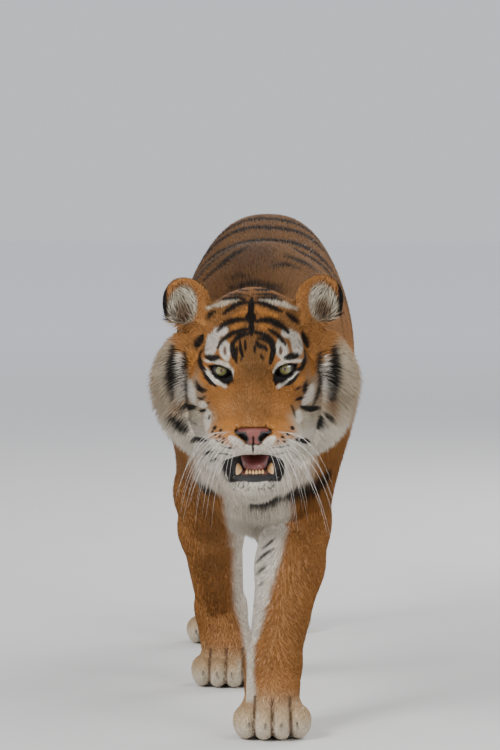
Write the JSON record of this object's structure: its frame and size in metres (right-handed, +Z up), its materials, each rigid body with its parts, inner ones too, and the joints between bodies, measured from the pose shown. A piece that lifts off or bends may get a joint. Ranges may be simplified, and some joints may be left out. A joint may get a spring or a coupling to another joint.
{
  "type": "tiger",
  "caption": "Life-size adult Amur tiger walking with its head low and mouth slightly open, as a still museum model standing on four flat soles.",
  "frame": {"origin": "on the floor, under the centre of the whole animal's box", "axes": "+Z up from the floor, -Y the way the tiger walks, +X its left side"},
  "size_m": [0.3862, 2.4736, 0.9595],
  "materials": {
    "coat_orange": "dense striped fur, orange with black stripes, white below",
    "coat_pale": "short white fur with a black lower lip",
    "coat_ear": "pale hair inside, black fur behind with a white spot",
    "coat_paw": "short cream fur, with claws drawn in",
    "nose_skin": "damp pink pebbled skin",
    "eye": "clear glossy eye with a yellow-green iris and round pupil",
    "tongue": "moist rough red-brown tongue",
    "tooth": "yellowed enamel"
  },
  "bodies": {
    "root": {"belly": "coat_orange", "canine_left": "tooth", "canine_right": "tooth", "chest": "coat_orange", "ear_left": "coat_ear", "ear_right": "coat_ear", "eye_left": "eye", "eye_right": "eye", "foreleg_left": "coat_orange", "foreleg_right": "coat_orange", "forepaw_left": "coat_paw", "forepaw_right": "coat_paw", "head": "coat_orange", "hindleg_left": "coat_orange", "hindleg_right": "coat_orange", "hindpaw_left": "coat_paw", "hindpaw_right": "coat_paw", "incisors": "tooth", "lower_jaw": "coat_pale", "neck": "coat_orange", "nose": "nose_skin", "rump": "coat_orange", "tail_base": "coat_orange", "tail_middle": "coat_orange", "tail_tip": "coat_orange", "thigh_left": "coat_orange", "thigh_right": "coat_orange", "tongue": "tongue", "upper_arm_left": "coat_orange", "upper_arm_right": "coat_orange"}
  },
  "joints": []
}
